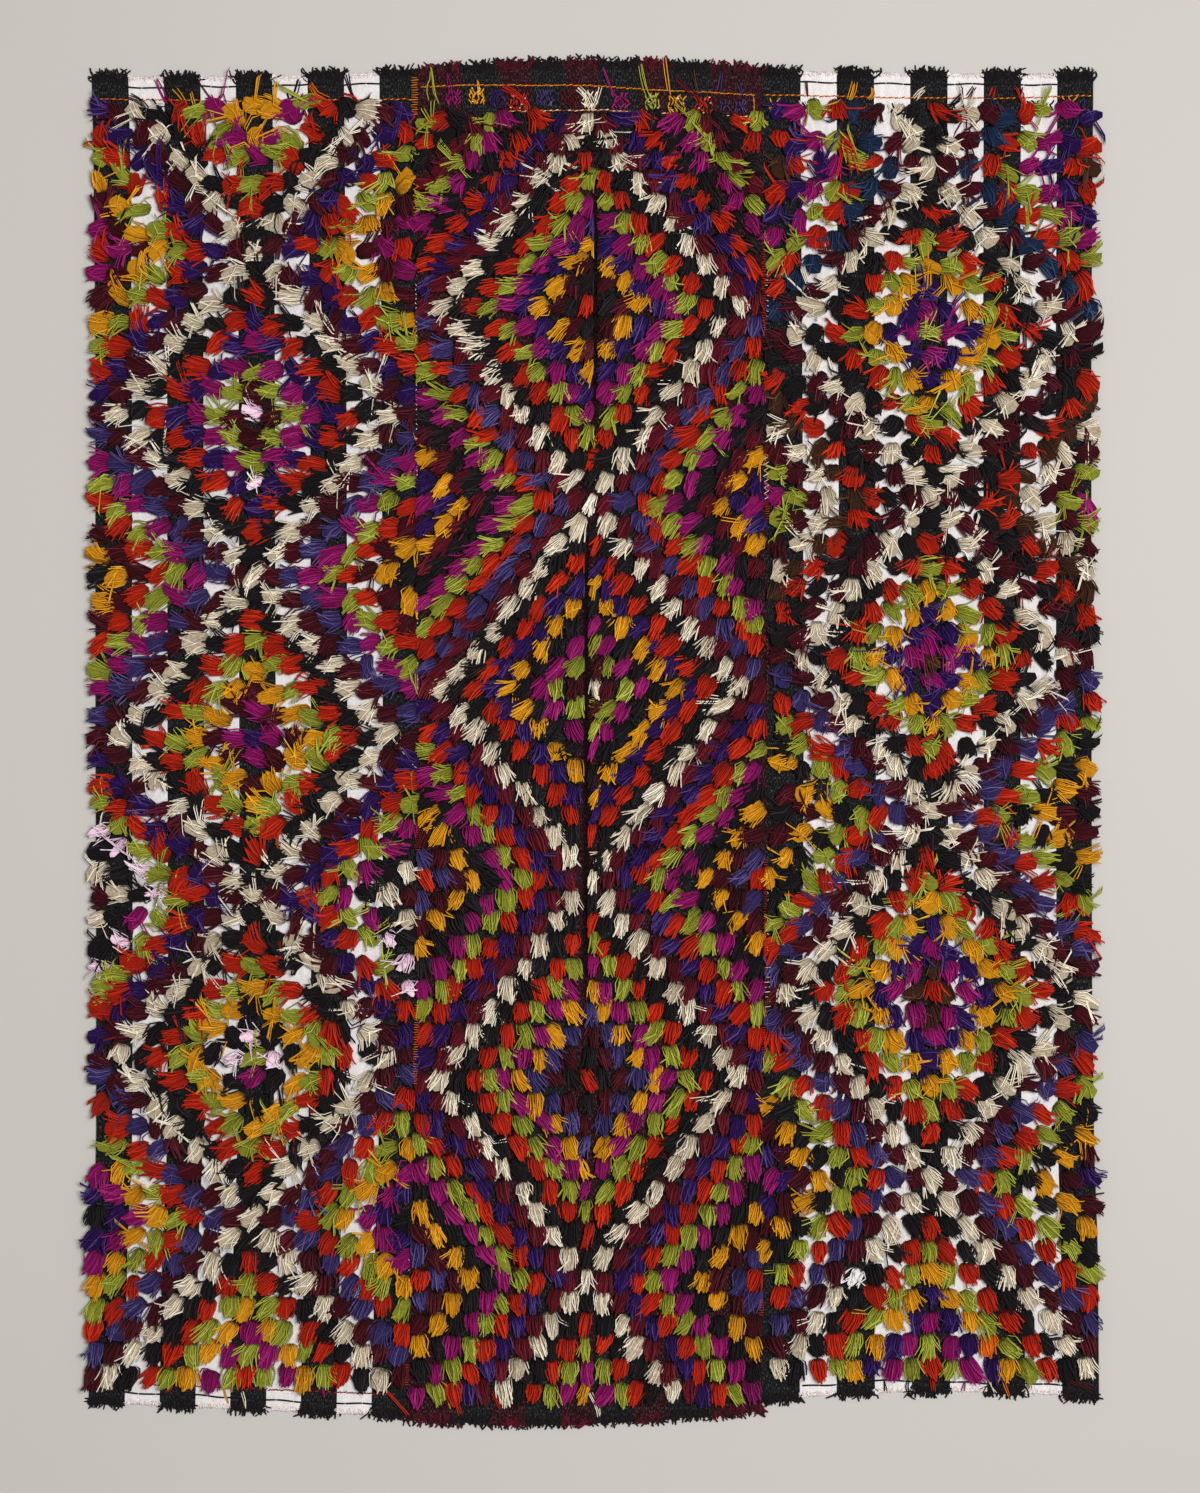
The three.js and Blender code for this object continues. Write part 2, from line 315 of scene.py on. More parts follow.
# The rug's rims and seams, from the bottom edge to the top edge.
outline = {
    "y": (-950.2, -702.9, -569.8, -341.6, 95.9, 571.4, 837.7, 951.8),
    "leftRim": (-705.4, -701.4, -694.4, -694.4, -695.4, -695.4, -698.4, -701.4),
    "leftSeam": (-263.4, -257.4, -253.4, -246.4, -246.4, -248.4, -250.4, -251.0),
    "rightSeam": (232.5, 230.5, 233.5, 237.5, 240.0, 237.0, 234.5, 234.0),
    "rightRim": (702.6, 700.6, 695.6, 692.6, 691.6, 691.6, 693.6, 694.6),
}


def outlineAt(name, y):
    return np.interp(y, outline["y"], outline[name])


# The crease along the centre strip, from the bottom up: where it runs and how sharp it is, where the
# middle column of tufts lies beside it, and the share of their width that these keep.
crease = {
    "panel": "centre_panel",
    "y": (-908, -540, -480, -400, -358, -300, 250, 320, 400, 490, 750, 790),
    "x": (-23, -21, -17, -12, -12, -12.4, -12.4, -12, -4, 0, 0, 0),
    "sharp": (0.25, 0.25, 0.15, 0.1, 0.3, 1, 1, 0.4, 0.3, 1, 1, 0),
    "tufts": (-13.5, -12.5, -8, -1, 0, -2, -3, -4, -7, -11, -11, -10),
    "squeezed": (0.65, 0.6, 0.8, 0.85, 0.8, 0.55, 0.55, 0.55, 0.75, 0.8, 0.8, 0.9),
    "gap": 3.2,                 # how far the pile stays clear of it on each side, where it is sharp
    "give": 0.12,               # what is left of any reach past that
    "half": 14,                 # how far from it the pile starts to sink
    "drop": 6,
    "shade": 0.25,              # the ground's brightness in its shadow
    "shadow": (2.5, 9),         # how far that shadow is full, and how far it goes
}


def creaseAt(what, y):
    return np.interp(y, crease["y"], crease[what])


# The woven ground of each panel: its two edges, its cut ends from left to right, how much shorter the
# pale warps are cut, where its bands of warp start as shares of its width, and the two colours they have
# in turn.
bandCount = 9
evenBands = [i / bandCount for i in range(bandCount)]
grounds = {
    "left_panel": {
        "seed": 10,
        "edges": ("leftRim", "leftSeam"),
        "top": (931.8, 930.8, 938.8),
        "bottom": (-921.2, -931.2, -940.2),
        "paleCut": 3.5,
        "bands": evenBands,
        "dark": "black",
        "pale": "pale",
    },
    "centre_panel": {
        "seed": 12,
        "edges": ("leftSeam", "rightSeam"),
        "top": (938.8, 950.8, 939.8),
        "bottom": (-944.2, -950.2, -930.2),
        "paleCut": 1.5,
        "bands": [0, 0.134, 0.24, 0.334, 0.431, 0.526, 0.643, 0.734, 0.851],
        "dark": "wine",
        "pale": "black",
    },
    "right_panel": {
        "seed": 11,
        "edges": ("rightSeam", "rightRim"),
        "top": (938.8, 934.8, 933.8),
        "bottom": (-919.2, -906.2, -915.2),
        "paleCut": 3.5,
        "bands": evenBands,
        "dark": "black",
        "pale": "pale",
    },
}
clothFinish = {
    "thickness": 3,
    "seamGap": 0.15,
    "rows": 44,
    "stepsInBand": 6,
    "fray": 1.1,                # how unevenly the warps are cut
    "warpPitch": 1.7,
    "weftPitch": 2.6,
    "ridges": (0.6, 0.5),       # strength and height of the weave's ridges
    "black": "131417",
    "wine": "2C0811",
    "pale": "F4EFEE",
    "fleck": "8C8682",
    "fleckFrom": (0.52, 0.75),  # where in the threads' noise the flecks start, and where they are full
    "flecks": 0.32,
    "soilNoise": (60, 4),       # scale and detail
    "soiling": (0.86, 1.04),
    "threadNoise": (420, 3),
    "threads": (0.7, 1.15),
    "noiseRange": (0.3, 0.7),   # what counts as the noise's lowest and highest
    "roughness": 0.95,
}


def bow(end, share):
    left, middle, right = end
    return left + (right - left) * share + (middle - (left + right) / 2) * 4 * share * (1 - share)


# The shadow along the crease. Where it lies and how sharp it is are read from two ramps that run from a
# metre below the rug's middle to a metre above it.
def creaseShadow(tree, colour, u, v, edges):
    up = addRange(tree, v, (-1, 1), (0, 1))
    places = np.array(crease["y"])
    low, high = (outlineAt(edge, places) for edge in edges)
    heights = (places * mm + 1) / 2
    shares = (np.array(crease["x"]) - low) / (high - low)
    place, sharp = [
        addRamp(tree, up, [(y, (value,) * 3) for y, value in zip(heights, values)])
        for values in (shares, crease["sharp"])
    ]
    off = addMath(tree, "ABSOLUTE", addMath(tree, "SUBTRACT", u, place))
    shade = addRange(tree, off, np.array(crease["shadow"]) / (high - low).mean(), (crease["shade"], 1))
    return addMix(tree, sharp, colour, shade, "MULTIPLY")


# u runs over the panel's width from 0 to 1, and v along it in metres.
def clothMaterial(panel):
    ground, finish = grounds[panel], clothFinish
    edges = ground["edges"]
    material, tree, shader = newMaterial(f"{panel}Cloth", linear(finish["black"]), finish["roughness"])
    weave = addNode(tree, "UVMap", "UV", uv_map="weave")
    u = addNode(tree, "SeparateXYZ", "X", {0: weave})
    v = u.node.outputs["Y"]
    colours = [linear(finish[ground["dark" if i % 2 == 0 else "pale"]]) for i in range(bandCount)]
    colour = addRamp(tree, u, list(zip(ground["bands"], colours)), "CONSTANT")

    soiled = addNoise(tree, finish["soilNoise"])
    threads = addNoise(tree, finish["threadNoise"])
    flecks = addRange(tree, threads, finish["fleckFrom"], (0, finish["flecks"]))
    colour = addMix(tree, flecks, colour, (*linear(finish["fleck"]), 1))
    for noise, brightness in ((soiled, finish["soiling"]), (threads, finish["threads"])):
        shade = addRange(tree, noise, finish["noiseRange"], brightness)
        colour = addMix(tree, 1, colour, shade, "MULTIPLY")
    if panel == crease["panel"]:
        colour = creaseShadow(tree, colour, u, v, edges)
    tree.links.new(colour, shader.inputs["Base Color"])

    # Warps and wefts are ridges across each other.
    width = outlineAt(edges[1], 0) - outlineAt(edges[0], 0)
    ridges = [
        addMath(tree, "SINE", addMath(tree, "MULTIPLY", way, 2 * math.pi * turns))
        for way, turns in ((u, width / finish["warpPitch"]), (v, 1000 / finish["weftPitch"]))
    ]
    bump = addBump(tree, finish["ridges"], Height=addMath(tree, "MULTIPLY", *ridges))
    tree.links.new(bump, shader.inputs["Normal"])
    return material


def groundCloth(panel):
    ground = grounds[panel]
    rng = np.random.default_rng(ground["seed"])
    bands = [*ground["bands"], 1]
    steps = clothFinish["stepsInBand"]
    shares, pale = [0.0], [0]
    for i in range(bandCount):
        shares += list(np.linspace(bands[i], bands[i + 1], steps + 1)[1:])
        pale += [i % 2] * steps
    shares, pale = np.array(shares), np.array(pale)
    cut = [clothFinish["fray"] * rng.uniform(-1, 1, len(shares)) + ground["paleCut"] * pale for _ in range(2)]
    top = bow(ground["top"], shares) - cut[0]
    bottom = bow(ground["bottom"], shares) + cut[1]
    down = (1 - np.cos(math.pi * np.linspace(0, 1, clothFinish["rows"]))) / 2
    y = top[None, :] + (bottom - top)[None, :] * down[:, None]
    left = outlineAt(ground["edges"][0], y) + clothFinish["seamGap"]
    right = outlineAt(ground["edges"][1], y) - clothFinish["seamGap"]
    x = left + (right - left) * shares[None, :]
    upper = np.stack([x, y, np.full_like(x, clothFinish["thickness"])], axis=2).reshape(-1, 3)
    lower = upper * (1, 1, 0)

    # Faces of the top, of the underside and of the rim between them.
    below = x.size
    at = np.arange(below).reshape(x.shape)
    a, b, c, d = at[:-1, :-1].ravel(), at[:-1, 1:].ravel(), at[1:, 1:].ravel(), at[1:, :-1].ravel()
    rim = np.concatenate([at[0, :-1], at[:-1, -1], at[-1, :0:-1], at[:0:-1, 0]])
    after = np.roll(rim, -1)
    faces = np.concatenate([
        np.stack([a, c, b], 1), np.stack([a, d, c], 1),
        np.stack([a, b, c], 1) + below, np.stack([a, c, d], 1) + below,
        np.stack([rim, after, after + below], 1), np.stack([rim, after + below, rim + below], 1),
    ])
    name = panel.replace("panel", "ground")
    points = np.concatenate([upper, lower])
    cloth = addPiece(name, points, faces, clothMaterial(panel), panel, smooth=False)
    uv = np.tile(np.stack([np.broadcast_to(shares, x.shape).ravel(), y.ravel() * mm], 1), (2, 1))
    layer = cloth.data.uv_layers.new(name="weave")
    layer.data.foreach_set("uv", uv[faces.ravel()].astype(np.float32).ravel())
    return cloth


cloths = {panel: groundCloth(panel) for panel in grounds}
print("the three grounds are woven")

# The pile of each panel.
# rows: where numbered rows of knots lie, counted from the bottom
# columns: the middle column's place and the pitch, along the rug
# drawnOut: how far the outermost column is drawn out to the right rim, at the same places as the pitch
# width, length: of a tuft
# topDrop: how much lower the last row lies, which has no row above it
# diamonds: the row each is centred on, and its colours ring by ring from there out to the cream one
# between: the row where two cream lines meet, and the colours from that cream one outward
# odd: knots of another dye, by column and row
# lie: how the pile lies at places across and along the rug, in degrees from straight down towards the
#     right, and at the end of each row how unruly it is there
pile = {
    "left_panel": {
        "seed": 40,
        "rows": {"row": (0, 42, 49, 55), "y": (-886, 455.4, 684.8, 876.5)},
        "columns": {"y": (-886, -341, 880), "middle": (-484.4, -476.6, -476.6), "pitch": (26.7, 26.8, 26.8)},
        "width": 29.5,
        "length": 37,
        "topDrop": -4,
        "diamonds": {
            0: "red green magenta yellow green red black cream",
            14: "green pink black yellow green red black cream",
            28: "purple magenta maroon yellow green red black cream",
            42: "pink maroon green magenta purple red black cream",
            56: "red yellow yellow magenta green red black cream",
        },
        "between": {
            7: "cream maroon lavender red green yellow magenta purple black",
            21: "cream maroon purple red green magenta black cream maroon",
            35: "cream maroon lavender magenta green red maroon yellow black",
            49: "cream maroon purple red green yellow maroon magenta red",
        },
        "odd": {
            (0, 39): "pink", (-8, 24): "pink", (-7, 23): "pink", (-6, 22): "pink", (-5, 21): "pink",
            (-7, 19): "pink", (-8, 18): "pink", (0, 13): "magenta", (0, 15): "pink", (7, 19): "pink",
            (8, 18): "pink", (8, 17): "pink",
        },
        "lie": {
            "x": (-646, -535, -424, -310),
            816: (-106, -108, -112, 50, 40),
            691: (-106, -92, -82, 45, 35),
            566: (-95, -89, -86, -83, 20),
            441: (-70, -92, -90, -70, 20),
            316: (-87, -65, -87, -65, 18),
            191: (-84, -74, -85, -54, 18),
            66: (-84, -77, -86, -74, 18),
            -59: (-107, -105, -120, -79, 25),
            -184: (-71, -100, -81, 30, 25),
            -309: (-78, -85, -96, 37, 30),
            -434: (-67, -79, -59, 32, 25),
            -559: (-63, -57, -73, -25, 25),
            -684: (-22, -48, -39, -35, 18),
            -809: (-37, -26, -20, -30, 12),
            -893: (-8, -5, -5, -5, 8),
        },
    },
    "centre_panel": {
        "seed": 41,
        "rows": {"row": (0, 5, 14, 23, 32, 41, 50, 59),
                 "y": (-908.3, -749.9, -471.9, -191.1, 73.1, 328.9, 605.5, 862.7)},
        "columns": {"y": (-908, -341, 880), "middle": (-12.5, -8.2, -8.2), "pitch": (23.2, 23, 23)},
        "width": 25,
        "length": 36.5,
        "topDrop": 3,
        "diamonds": {
            -4: "red red red red yellow magenta green red black cream",
            14: "red black maroon lavender yellow magenta green red black cream",
            32: "cream maroon green magenta black yellow purple red black cream",
            50: "red black maroon yellow purple magenta green red black cream",
        },
        "between": {
            5: "cream crimson purple red green magenta black yellow maroon lavender red",
            23: "cream crimson purple red green magenta black yellow maroon lavender red",
            41: "cream crimson lavender red green magenta black crimson yellow purple magenta",
            59: "cream crimson purple red black magenta green crimson black red green",
        },
        "odd": {},
        "lie": {
            "x": (-208, -126, -47, 34, 113, 192),
            816: (-60, 30, -20, 10, -40, 20, 25),
            691: (-71, -59, -51, -42, -15, 46, 14),
            566: (-68, -71, -51, -19, -52, -7, 11),
            441: (-65, -30, -9, -33, -44, -40, 14),
            316: (-55, -63, -27, -31, -43, -48, 12),
            191: (-52, -41, -28, -30, -29, -7, 8),
            66: (-52, -45, -19, -31, -49, -27, 10),
            -59: (-76, 9, 0, -43, -38, -46, 12),
            -184: (23, 36, 0, -22, -48, -25, 11),
            -309: (14, -25, 7, -19, -35, -23, 9),
            -434: (-41, 17, 34, -3, 1, -22, 12),
            -559: (17, 22, 24, -30, -33, -4, 10),
            -684: (21, 19, 2, -20, -16, -15, 8),
            -809: (-15, 17, 11, -21, -8, -13, 7),
            -900: (12, 3, -6, -21, -6, 15, 6),
        },
    },
    "right_panel": {
        "seed": 42,
        "rows": {"row": (0, 8, 16, 24, 31, 38, 45, 52, 54),
                 "y": (-874.9, -610.9, -350.8, -100.6, 116.2, 337.2, 566.6, 798.7, 872.4)},
        "columns": {"y": (-875, -810, -351, 115, 566, 876), "middle": (468.6,) * 6,
                    "pitch": (26.6, 26.6, 24.9, 26.3, 27.6, 26.9)},
        "drawnOut": (2, 11, 15, 9, 0, 5),
        "outermost": 8,
        "width": 29,
        "length": 36.5,
        "topDrop": -3,
        "diamonds": {
            0: "red green magenta purple yellow green red black cream",
            16: "red brown magenta purple yellow green red black cream",
            31: "brown magenta purple yellow green red black cream",
            45: "green magenta purple yellow green red black cream",
            59: "red red red red red red black cream",
        },
        "between": {
            8: "cream maroon lavender red green black yellow maroon purple magenta",
            24: "cream maroon lavender red green black yellow maroon black red",
            38: "cream maroon black red brown cream maroon green magenta red",
            52: "cream maroon navy red green magenta purple red brown red",
        },
        "odd": {(-4, 4): "white", (3, 1): "orange"},
        "lie": {
            "x": (298, 410, 521, 634),
            816: (-40, 0, 50, 60, 45),
            691: (-41, 50, 62, 72, 30),
            566: (-72, 12, 61, 64, 30),
            441: (-63, -10, 50, 58, 30),
            316: (-60, 37, 47, 73, 30),
            191: (-28, 2, 57, 40, 25),
            66: (-60, 0, 68, 53, 30),
            -59: (-65, -40, 71, 83, 25),
            -184: (-45, 10, 80, 61, 30),
            -309: (-51, -47, 32, 80, 25),
            -434: (-20, 20, 22, 46, 20),
            -559: (-23, 20, 30, 52, 20),
            -684: (-13, 17, 29, 45, 15),
            -809: (9, 5, 21, 32, 12),
            -893: (5, 0, 12, 20, 9),
        },
    },
}
# The shape of a tuft. Five values are for its five stations. Where nothing else is said, a pair is the
# value for a combed tuft and what the unruliest ones add to it.
tuftShape = {
    "stations": (0, 0.15, 0.5, 0.79, 1),
    "spread": (0.34, 0.88, 1.0, 0.88, 0.46),       # how wide a combed tuft is at each station
    "wildSpread": (0.24, 0.62, 0.95, 1.04, 0.98),  # and an unruly one
    "opening": (0, 0.02, 0.2, 0.65, 1),            # where a fan adds to that
    "gather": (0, 0.0, 0.35, 0.75, 0.95),          # how closely the yarns of one lock lie
    "curl": (0, 0.0, 0.05, 0.42, 1),               # how far along its curl a lock is
    "lift": (0.0, 0.6, 0.95, 1.03, 0.95),          # its height, as shares of rise
    "crowned": (0.2, 1, 1, 0.9, 0.8),              # where its sides lie lower
    "layered": (1, 1, 1, 0.7, 0.1),                # where every other yarn lies lower
    "thick": (0, 0.95, 1.05, 0.95, 0),             # how thick a yarn is
    "crooked": (0.2, 0.7, 1.4, 1.4, 1.1),          # how far it wanders
    "shadedTone": (-0.4, -0.18, 0.02, 0.06, 0.04),     # its tone, lower towards the root as painted shade
    "root": 3.4,
    "rise": 14,
    "crown": 5,                 # how much lower a tuft's sides lie than its middle
    "layer": 1.9,               # and every other yarn than the ones beside it
    "seen": 0.57,               # the share of the length from the knot to the middle of what shows
    "slant": 0.22,              # how much longer a tuft looks when it lies right across
    "wildAt": 0.68,             # the unruliness of the unruliest tufts
    "wildPower": 1.5,           # how late curls come in as tufts get unrulier
    "wildShort": 0.07,          # how much shorter they are
    "wildFan": (-0.15, 0.35),   # least and most that they open further
    "bend": (0.16, 0.5),
    "yarnsInLock": (1.5, 2.9),  # least and most
    "gathering": (0.2, 0.8),
    "gathered": 0.75,           # how near to its middle a lock's yarns come
    "curling": (0.065, 0.54),
    "mostCurl": 0.75,
    "outward": 0.35,            # how much of a lock's curl turns away from the tuft's middle
    "sideShort": (0.36, -0.2),  # how much shorter the yarns at the sides are
    "unevenLocks": (0.01, 0.09),
    "mostUneven": 2,
    "stray": 0.04,              # share of yarns that wander off
    "straying": (0.3, 1),
    "strayed": 0.26,            # how far they do, beside their length
    "loopOpen": 1.5,            # half the width of an uncut loop near its tip
    "blunt": 0.88,              # how late a yarn starts to taper, if it isn't frayed
    "fraying": (0.2, 0.8),
    "drift": 2.4,               # how unevenly the knots sit
    "overhang": 11,             # how far tips hang past a rim
    "parting": 1,               # how far the pile stays clear of a seam
    "give": 0.35,               # what is left of any reach past that
    "edgeRoom": 1,              # no knot is nearer to a panel's edge
    "clear": 0.4,               # how far anything stays above the cloth
    "pressed": 0.6,             # and how far a yarn's middle does, beside its radius
    "tone": 0.52,
}
# How unevenly tufts come out.
tuftErrors = {
    "length": 0.09,
    "width": 0.1,
    "place": 0.6,               # of a yarn across its tuft, beside a yarn's room
    "reach": 0.02,              # of a yarn's length
    "forward": 0.4,
    "yarnHeight": 0.7,
    "tuftHeight": 1.2,
    "thick": 0.1,
    "tuftTone": 0.07,
    "yarnTone": 0.12,
}
# Under the top yarns lies the rest of the tuft, as one low petal.
petalShape = {
    "at": (0.04, 0.2, 0.56, 0.9),
    "narrowed": (1, 1, 1, 0.9),
    "loopNarrow": 0.5,          # how much narrower it is under uncut yarns
    "sides": (-0.86, 0, 0.86),
    "sideShort": 0.12,
    "below": 2.4,
}


def dyeOf(chart, column, row):
    if (column, row) in chart["odd"]:
        return chart["odd"][column, row]
    past = {}
    for centre, rings in chart["diamonds"].items():
        names = rings.split()
        past[abs(column) + abs(row - centre) - (len(names) - 1)] = names
    least = min(past)
    if least <= 0:
        return past[least][least - 1]
    meeting = min(chart["between"], key=lambda place: abs(place - row))
    names = chart["between"][meeting].split()
    return names[min(least, len(names) - 1)]


# The lie of the pile at each knot, in radians from straight down towards the right, and how unruly it is.
def lieAt(table, x, y):
    heights = sorted(key for key in table if key != "x")
    rows = np.array([table[key] for key in heights], float)
    angles = np.radians(rows[:, :-1])
    at = np.interp(x, table["x"], np.arange(len(table["x"])))
    before = np.minimum(at.astype(int), len(table["x"]) - 2)
    share = at - before
    pick = np.arange(len(x))
    parts = []
    for part in (np.sin(angles), np.cos(angles)):
        there = np.stack([np.interp(y, heights, values) for values in part.T], 1)
        parts.append(there[pick, before] * (1 - share) + there[pick, before + 1] * share)
    return np.arctan2(*parts), np.radians(np.interp(y, heights, rows[:, -1]))


def knotsOf(panel, rng):
    chart, room = pile[panel], tuftShape["edgeRoom"]
    rows, columns = chart["rows"], chart["columns"]
    last = rows["row"][-1]
    mostColumns = 10  # on each side of the middle one
    found = []
    for row in range(last + 1):
        y = np.interp(row, rows["row"], rows["y"])
        if row == last:
            y -= chart["topDrop"]
        low, high = (outlineAt(edge, y) for edge in grounds[panel]["edges"])
        middle, pitch = (np.interp(y, columns["y"], columns[key]) for key in ("middle", "pitch"))
        for column in range(-mostColumns, mostColumns + 1):
            x = middle + pitch * column
            if column > 0 and "drawnOut" in chart:
                x += np.interp(y, columns["y"], chart["drawnOut"]) * (column / chart["outermost"]) ** 3
            if column == 0 and panel == crease["panel"]:
                x = creaseAt("tufts", y)
            if low + room < x < high - room:
                found.append((x, y, dyeOf(chart, column, row), column))
    knots = {key: np.array(values) for key, values in zip(("x", "y", "dye", "column"), zip(*found))}
    knots["x"] += rng.normal(0, tuftShape["drift"], len(found))
    knots["y"] += rng.normal(0, tuftShape["drift"], len(found))
    lie, knots["unruly"] = lieAt(chart["lie"], knots["x"], knots["y"])
    knots["lie"] = lie + rng.normal(0, 1, len(found)) * knots["unruly"]
    return knots


# Yarn that would lie past its panel's edge is drawn back, to just past a rim or just short of a seam.
def heldIn(panel, points, knotX):
    shape = tuftShape
    room = [shape["overhang"] if "Rim" in edge else -shape["parting"] for edge in grounds[panel]["edges"]]
    low, high = (outlineAt(edge, points[..., 1]) for edge in grounds[panel]["edges"])
    x = points[..., 0]
    past = np.maximum(low - room[0] - x, 0) - np.maximum(x - (high + room[1]), 0)
    points[..., 0] = x + (1 - shape["give"]) * past
    if panel == crease["panel"]:
        # The pile parts along the crease, each tuft keeping to its own side, and sinks towards it.
        y = points[..., 1]
        sharp = creaseAt("sharp", y)
        side = np.where(knotX < creaseAt("x", y.mean(axis=(1, 2))), -1, 1).reshape(-1, 1, 1)
        aside = (points[..., 0] - creaseAt("x", y)) * side
        points[..., 0] += side * sharp * (1 - crease["give"]) * np.maximum(crease["gap"] - aside, 0)
        near = sharp * np.clip(1 - aside / crease["half"], 0, 1)
        lowest = clothFinish["thickness"] + shape["clear"]
        points[..., 2] = np.maximum(points[..., 2] - crease["drop"] * near, lowest)
    return points


# A value of a pair, for tufts that are wild from 0 to 1.
def grown(key, wild):
    combed, added = tuftShape[key]
    return combed + added * wild


# Where the tufts of one dye lie, how long and wide each is, and how it opens and bends. Every value is
# shaped to go with arrays of tufts by yarns by stations.
def tuftsOf(panel, dye, knots, rng):
    wool, chart, shape = wools[dye], pile[panel], tuftShape
    tuft = {key: values[knots["dye"] == dye] for key, values in knots.items()}
    count, lie = len(tuft["x"]), tuft["lie"]
    wild = np.clip(tuft["unruly"] / shape["wildAt"], 0, 1)
    length = chart["length"] * rng.normal(1, tuftErrors["length"], count)
    length = length * (1 + shape["slant"] * np.abs(np.sin(lie))) * wool["long"]
    length = length * (1 - shape["wildShort"] * wild)
    wide = chart["width"] * rng.normal(1, tuftErrors["width"], count)
    if panel == crease["panel"]:
        wide = np.where(tuft["column"] == 0, wide * creaseAt("squeezed", tuft["y"]), wide)
    fan = wool["fan"] * rng.uniform(0, 2, count) + wild * rng.uniform(*shape["wildFan"], count)
    bends = [rng.normal(0, error, count) for error in shape["bend"]]
    ahead = np.stack([np.sin(lie), -np.cos(lie)], 1)
    aside = np.stack([np.cos(lie), np.sin(lie)], 1)
    root = np.stack([tuft["x"], tuft["y"]], 1) - ahead * (length * shape["seen"])[:, None]
    values = {
        "wild": wild,
        "length": length,
        "half": wide / 2 - 1,   # to the middle of the outermost yarns
        "fan": fan,
        "bend": (bends[0] + bends[1] * wild) * length,
    }
    places = {"root": root, "ahead": ahead, "aside": aside}
    return {
        "x": tuft["x"],
        **{key: value.reshape(-1, 1, 1) for key, value in values.items()},
        **{key: value.reshape(-1, 1, 1, 2) for key, value in places.items()},
    }


# Points given along, beside and above their tufts, as xyz.
def laidOut(tuft, forward, sideways, high):
    flat = tuft["root"] + forward[..., None] * tuft["ahead"] + sideways[..., None] * tuft["aside"]
    return np.concatenate([flat, high[..., None]], axis=3)


# The middle line of each yarn.
def yarnLines(tuft, wool, rng):
    shape = {key: np.array(value) for key, value in tuftShape.items()}
    wild, length, stations = tuft["wild"], tuft["length"], shape["stations"]
    count, yarns = len(length), wool["yarns"]
    each, every = (count, yarns, 1), (count, yarns, len(stations))
    late = wild ** shape["wildPower"]

    # Where each yarn lies across its tuft, from -1 to 1, and its lock.
    across = np.linspace(-1, 1, yarns).reshape(1, -1, 1) + rng.normal(0, tuftErrors["place"] / yarns, each)
    locks = np.round(yarns / rng.uniform(*shape["yarnsInLock"], count)).astype(int).reshape(-1, 1, 1)
    lock = np.clip(np.floor((across + 1) / 2 * locks), 0, locks - 1).astype(int)
    middle = (lock + 0.5) / locks * 2 - 1
    turned = np.take_along_axis(rng.normal(0, 1, each), lock, 1) + shape["outward"] * 2 * middle
    curls = np.clip(turned * (wool["curl"] * grown("curling", late)), -shape["mostCurl"], shape["mostCurl"])

    reach = length * (1 - grown("sideShort", wild) * across ** 2)
    reach = reach * (1 + rng.normal(0, tuftErrors["reach"], each))
    uneven = np.take_along_axis(rng.normal(0, 1, each), lock, 1)
    uneven = np.clip(uneven, -shape["mostUneven"], shape["mostUneven"])
    reach = reach * (1 + uneven * grown("unevenLocks", late))
    placed = across + (middle - across) * (shape["gather"] * grown("gathering", wild)) * shape["gathered"]
    spread = shape["spread"] * (1 - wild) + shape["wildSpread"] * wild + tuft["fan"] * shape["opening"]
    astray = rng.random(each) < shape["stray"]
    astray = astray * rng.normal(0, shape["strayed"], each) * grown("straying", wild)
    sideways = placed * spread * tuft["half"] + astray * length * stations
    sideways += tuft["bend"] * stations ** 2 / 2
    sideways += curls * length * shape["curl"]
    sideways += rng.normal(0, wool["wave"], every) * shape["crooked"]
    forward = reach * stations + rng.normal(0, tuftErrors["forward"], every)
    forward -= curls ** 2 * length * shape["curl"] ** 2

    # In an uncut tuft two neighbouring yarns meet at the tip.
    looped = rng.random(count) < wool["looped"]
    number = np.arange(yarns)
    partner = np.where((number ^ 1) < yarns, number ^ 1, number)
    for track in (sideways, forward):
        track[looped, :, -1] = (track[looped, :, -1] + track[looped][:, partner, -1]) / 2
    sideways[looped, :, -2] += shape["loopOpen"] * np.where(number % 2, 1, -1)

    high = shape["root"] + shape["rise"] * shape["lift"] - shape["crown"] * across ** 2 * shape["crowned"]
    high = high - shape["layer"] * (number % 2)[:, None] * shape["layered"]
    high += rng.normal(0, tuftErrors["yarnHeight"], each)
    high += rng.normal(0, tuftErrors["tuftHeight"], (count, 1, 1))
    lowest = clothFinish["thickness"] + wool["yarn"] / 2 * shape["pressed"]
    return laidOut(tuft, forward, sideways, np.maximum(high, lowest))


def petalPoints(tuft, wool):
    shape, petal = tuftShape, petalShape
    at, narrowed = np.array(petal["at"])[:, None], np.array(petal["narrowed"])[:, None]
    sides = np.array(petal["sides"])
    spread, opening, lift = [
        np.interp(at, shape["stations"], shape[key]) for key in ("spread", "opening", "lift")
    ]
    wide = spread * narrowed * (1 - petal["loopNarrow"] * wool["looped"])
    forward = tuft["length"] * at * (1 - petal["sideShort"] * sides ** 2)
    sideways = sides * (wide + tuft["fan"] * opening) * tuft["half"] + tuft["bend"] * at ** 2 / 2
    high = shape["root"] + shape["rise"] * lift - petal["below"] - shape["crown"] * sides ** 2
    high = np.maximum(high, clothFinish["thickness"] + shape["clear"])
    return laidOut(tuft, forward, sideways, np.broadcast_to(high, forward.shape))


